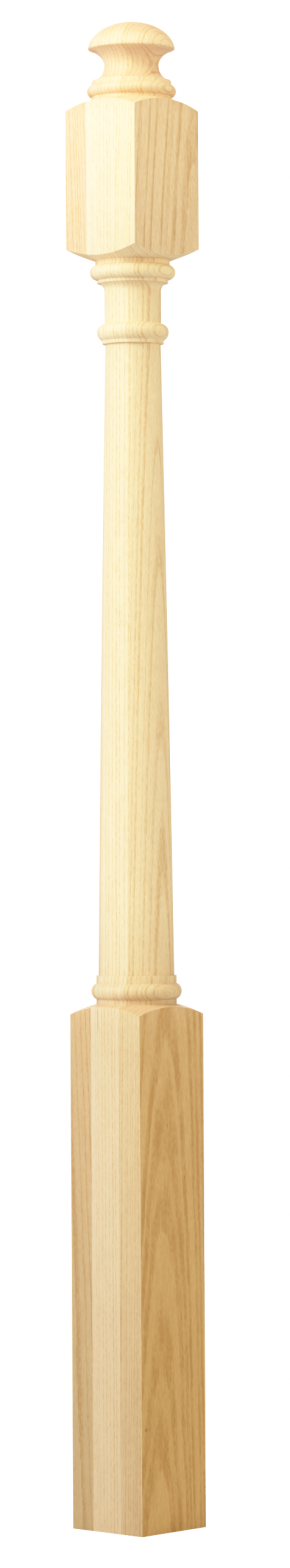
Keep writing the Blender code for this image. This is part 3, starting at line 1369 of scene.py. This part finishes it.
@dataclass(frozen=True)
class SoftLamp:
    """One softbox. Azimuth 0 faces the post's front, 90 its right.

    Attributes:
        name: what it does.
        azimuth: where it hangs round the post, in degrees.
        distance: out from the post's axis, on plan.
        height: of its middle.
        aim: height on the post that it points at.
        width: of its face.
        tall: height of its face.
        power: in watts.
        colour: of its light.
    """

    name: str
    azimuth: float
    distance: float
    height: float
    aim: float
    width: float
    tall: float
    power: float
    colour: Triple

    def hang(self) -> bpy.types.Object:
        """Returns the lamp, hung and pointed at the post."""
        light = bpy.data.lights.new(self.name, "AREA")
        light.shape = "RECTANGLE"
        light.size = self.width
        light.size_y = self.tall
        light.energy = self.power
        light.color = self.colour
        lamp = bpy.data.objects.new(self.name, light)
        turn = math.radians(self.azimuth)
        lamp.location = (math.sin(turn) * self.distance, -math.cos(turn) * self.distance, self.height)
        aim = Vector((0.0, 0.0, self.aim)) - lamp.location
        lamp.rotation_euler = aim.to_track_quat("-Z", "Y").to_euler()
        bpy.context.scene.collection.objects.link(lamp)
        return lamp


@dataclass(frozen=True)
class Viewpoint:
    """Where the photograph was taken from. Distances in metres, angles in degrees.

    Attributes:
        distance: from the post's axis, on plan.
        azimuth: round the post, 0 in front of it.
        eye_height: of the lens.
        focal_pixels: focal length, in pixels of the picture.
        axis_left: how far the post's axis lies left of the picture's middle, in pixels.
        horizon_low: how far the horizon lies below the picture's middle, in pixels.
        lean: how far the top of the post leans left in the picture.
        film: height of the film, in millimetres.
    """

    distance: float = 4.168
    azimuth: float = 42.86
    eye_height: float = 0.5923
    focal_pixels: float = 8456.0
    axis_left: float = 15.7
    horizon_low: float = 20.0
    lean: float = 0.321
    film: float = 36.0

    def camera(self) -> bpy.types.Object:
        """Returns the camera, placed and made the scene's own."""
        data = bpy.data.cameras.new("camera")
        data.sensor_fit = "VERTICAL"
        data.sensor_height = self.film
        data.lens = self.film * self.focal_pixels / PICTURE_HEIGHT
        data.dof.use_dof = False
        data.clip_start = 0.1
        data.clip_end = 60.0
        camera = bpy.data.objects.new("camera", data)
        turn = math.radians(self.azimuth)
        out = Vector((math.sin(turn), -math.cos(turn), 0.0))
        across = Vector((math.cos(turn), math.sin(turn), 0.0))
        up = Vector((0.0, 0.0, 1.0))
        aside = across * (self.axis_left / self.focal_pixels)
        raised = up * (self.horizon_low / self.focal_pixels)
        look = (-out + aside + raised).normalized()
        side = look.cross(up).normalized()
        crown = side.cross(look)
        roll = math.radians(self.lean)
        right = side * math.cos(roll) - crown * math.sin(roll)
        top = crown * math.cos(roll) + side * math.sin(roll)
        basis = Matrix((right, top, -look)).transposed().to_4x4()
        camera.matrix_world = Matrix.Translation(out * self.distance + up * self.eye_height) @ basis
        bpy.context.scene.collection.objects.link(camera)
        bpy.context.scene.camera = camera
        return camera


@dataclass(frozen=True)
class FloorPaper:
    """Matt paper that glows a little to the camera, so it reads as white.

    Attributes:
        colour: of the paper.
        roughness: of the paper.
        glow: how strongly the camera alone sees it glow.
    """

    colour: Colour = (0.86, 0.85, 0.83, 1.0)
    roughness: float = 0.9
    glow: float = 1.5

    def material(self) -> bpy.types.Material:
        """Returns the finished material."""
        material = bpy.data.materials.new("floor_paper")
        material.use_nodes = True
        w = Wiring(material.node_tree)
        shader = material.node_tree.nodes["Principled BSDF"]
        shader.inputs["Base Color"].default_value = self.colour
        shader.inputs["Roughness"].default_value = self.roughness
        shader.inputs["Specular IOR Level"].default_value = 0.0
        shader.inputs["Emission Color"].default_value = WHITE
        seen = w.node("ShaderNodeLightPath").outputs["Is Camera Ray"]
        w.feed(shader.inputs["Emission Strength"], w.times(seen, self.glow))
        return material


@dataclass
class Studio:
    """Pale floor, white surroundings and softboxes.

    Attributes:
        lamps: the softboxes.
        floor_size: width of the floor.
        paper: what the floor is covered with.
        surround: colour of the surroundings.
        surround_light: how strongly they light the post.
        surround_seen: how bright the camera sees them.
        brightest: tone that prints as pure white.
        print_curve: tones of the scene between black and brightest, and what each prints as.
    """

    lamps: Sequence[SoftLamp]
    floor_size: float = 16.0
    paper: FloorPaper = FloorPaper()
    surround: Colour = WHITE
    surround_light: float = 0.12
    surround_seen: float = 2.0
    brightest: float = 1.6
    print_curve: tuple[Point, ...] = (
        (0.2, 0.2),
        (0.4, 0.4),
        (0.6, 0.6),
        (0.8, 0.765),
        (1.0, 0.875),
        (1.2, 0.94),
        (1.4, 0.98),
    )

    def floor(self) -> bpy.types.Object:
        """Returns the floor."""
        plane = bmesh.new()
        bmesh.ops.create_grid(plane, x_segments=1, y_segments=1, size=self.floor_size / 2.0)
        mesh = bpy.data.meshes.new("floor")
        plane.to_mesh(mesh)
        plane.free()
        floor = bpy.data.objects.new("floor", mesh)
        floor.data.materials.append(self.paper.material())
        bpy.context.scene.collection.objects.link(floor)
        return floor

    def surroundings(self) -> None:
        """Sets the world: white to the camera, softer as light."""
        world = bpy.data.worlds.new("studio")
        bpy.context.scene.world = world
        world.use_nodes = True
        w = Wiring(world.node_tree)
        background = world.node_tree.nodes["Background"]
        background.inputs["Color"].default_value = self.surround
        seen = w.node("ShaderNodeLightPath").outputs["Is Camera Ray"]
        strength = w.remap(seen, 0.0, 1.0, self.surround_light, self.surround_seen)
        w.feed(background.inputs["Strength"], strength)

    def light_up(self) -> None:
        """Builds floor, surroundings and lamps, and sets how the picture is printed."""
        self.floor()
        self.surroundings()
        for lamp in self.lamps:
            lamp.hang()
        self.develop()

    def develop(self) -> None:
        """Rounds off the bright end of the picture as photographic paper does."""
        view = bpy.context.scene.view_settings
        view.view_transform = "Standard"
        view.look = "None"
        view.use_curve_mapping = True
        mapping = view.curve_mapping
        mapping.white_level = (self.brightest,) * 3
        mapping.extend = "HORIZONTAL"
        points = mapping.curves[3].points
        for given, shown in self.print_curve:
            points.new(given / self.brightest, shown)
        mapping.update()


# This post's own wood and lamps


LEFT_BOARD = Board(
    pith=(-40.0, 84.0, 0.0),
    drift=(-0.038, 0.0, 0.0),
    ring_width=1.45,
    sway=0.5,
    seed=3.0,
    contrast=0.9,
    common_years=1.0,
    speckle=0.5,
    late_colour=(1.0, 0.80, 0.50, 1.0),
    early_colour=(0.87, 0.61, 0.31, 1.0),
    pore_colour=(0.78, 0.49, 0.21, 1.0),
    plain_tint=(0.95, 0.80, 0.76, 1.0),
    foot_tint=(0.70, 0.68, 0.66, 1.0),
    plain_foot_tint=(0.565, 0.525, 0.425, 1.0),
)
MIDDLE_BOARD = Board(
    pith=(-130.0, -75.0, 0.0),
    ring_width=3.6,
    sway=0.6,
    seed=5.0,
    contrast=1.0,
    common_years=1.0,
    speckle=0.45,
    late_colour=(1.0, 0.82, 0.51, 1.0),
    early_colour=(0.90, 0.635, 0.315, 1.0),
    pore_colour=(0.82, 0.53, 0.235, 1.0),
    plain_tint=WHITE,
    foot_tint=(0.734, 0.715, 0.72, 1.0),
    plain_foot_tint=(0.734, 0.715, 0.72, 1.0),
)
RIGHT_BOARD = Board(
    pith=(238.0, -18.0, 0.0),
    drift=(0.0, 0.0305, 0.0),
    bend=(0.0, 0.0332, 0.0),
    run_out=0.0034,
    foot_run_out=0.0074,
    ring_width=3.0,
    heavy_years=(
        (193.84, 194.7, 195.9),
        (196.7, 197.5, 199.2),
        (200.27, 201.5, 203.9),
        (206.68, 208.84, 212.63),
    ),
    sway=0.45,
    seed=8.0,
    contrast=1.0,
    common_years=0.30,
    speckle=0.8,
    late_colour=(1.0, 0.82, 0.49, 1.0),
    early_colour=(0.84, 0.62, 0.30, 1.0),
    pore_colour=(0.80, 0.56, 0.25, 1.0),
    # Painted shade: on the right face these two tints stand for its shade and the warm light from the right,
    # stronger low down
    plain_tint=(0.84, 0.775, 0.76, 1.0),
    foot_tint=(0.65, 0.60, 0.555, 1.0),
    plain_foot_tint=(0.65, 0.51, 0.30, 1.0),
)
PIN_KNOT = Mark(centre=(38.1, -32.7, 85.2), reach=(2.0, 1.9, 2.1), tint=(0.74, 0.66, 0.58, 1.0))
CHECK = Mark(centre=(-7.55, -38.1, 412.0), reach=(0.55, 4.0, 14.0), tint=(0.72, 0.66, 0.58, 1.0))
NECK_STAIN = Mark(centre=(24.8, -1.2, 1176.0), reach=(3.6, 3.6, 3.4), tint=(0.86, 0.80, 0.72, 1.0))

# Name, azimuth, distance, height, aim, width, tall, power and colour
LAMPS = (
    SoftLamp("key", -10.0, 2.0, 1.9, 0.9, 1.4, 1.4, 57.8, (1.0, 0.935, 0.935)),
    SoftLamp("right_fill", 90.0, 2.2, 1.8, 0.9, 1.2, 1.2, 18.7, (1.0, 0.84, 0.62)),
    SoftLamp("right_rim", 130.0, 2.2, 1.3, 0.7, 1.2, 1.6, 15.2, (1.0, 0.98, 0.95)),
    SoftLamp("top", 42.0, 0.6, 2.3, 1.1, 1.0, 1.0, 10.8, (1.0, 0.97, 0.93)),
    SoftLamp("back", 224.0, 2.6, 1.7, 0.8, 1.6, 1.6, 36.0, (1.0, 0.98, 0.95)),
)


def main() -> None:
    """Builds the post, dresses it, and sets up the studio."""
    logging.basicConfig(level=logging.INFO, format="%(message)s")
    low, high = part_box(POST_NODE)
    post_design = NewelPost(section=high.x - low.x, height=high.z - low.z)
    finish = GluedUpOak(
        boards={
            BoardPlace.LEFT: LEFT_BOARD,
            BoardPlace.MIDDLE: MIDDLE_BOARD,
            BoardPlace.RIGHT: RIGHT_BOARD,
        },
        seams=(-15.4, 15.2),
        marks=(PIN_KNOT, CHECK, NECK_STAIN),
        half=post_design.section / 2.0 * MILLIMETRES,
    )
    post = post_design.build()
    post_design.dress(post, finish)
    shaft_length = post_design.shaft.length * MILLIMETRES
    LOG.info("post: %d faces, shaft %.1f mm", len(post.data.polygons), shaft_length)
    Studio(lamps=LAMPS).light_up()
    LOG.info("studio: floor and %d lamps", len(LAMPS))
    camera = Viewpoint().camera()
    LOG.info("camera: %.2f mm lens", camera.data.lens)


if __name__ == "__main__":
    main()
